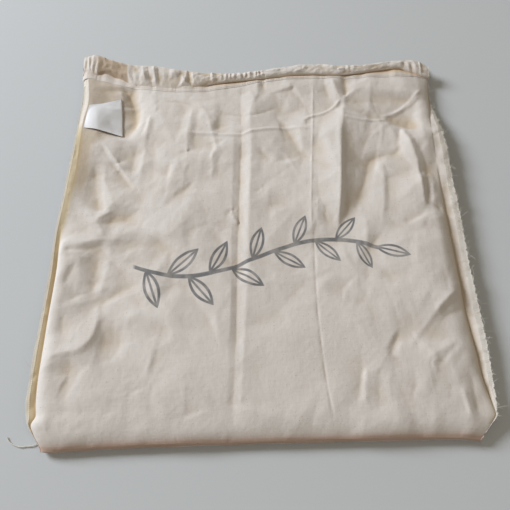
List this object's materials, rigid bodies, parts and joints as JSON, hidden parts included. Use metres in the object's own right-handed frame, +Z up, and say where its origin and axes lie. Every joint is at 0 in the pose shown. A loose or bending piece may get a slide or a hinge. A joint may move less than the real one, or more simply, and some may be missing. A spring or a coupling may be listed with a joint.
{
  "type": "drawstring cloth bag",
  "caption": "Flat cream cotton drawstring storage bag lying inside out, with a gathered casing at its open mouth, seam allowances along its sides and a small bare care label.",
  "frame": {"origin": "on the resting surface, under the middle of the bag's box without the loose thread", "axes": "+Z up from the resting surface, +Y from the bottom fold to the open mouth, +X to the side away from the label"},
  "size_m": [0.4245, 0.4408, 0.0228],
  "materials": {
    "cotton": "matt plain weave",
    "label_satin": "soft satin",
    "sewing_thread": "matt"
  },
  "bodies": {
    "root": {"bag_cloth": "cotton", "care_label": "label_satin", "loose_thread": "sewing_thread"}
  },
  "joints": []
}
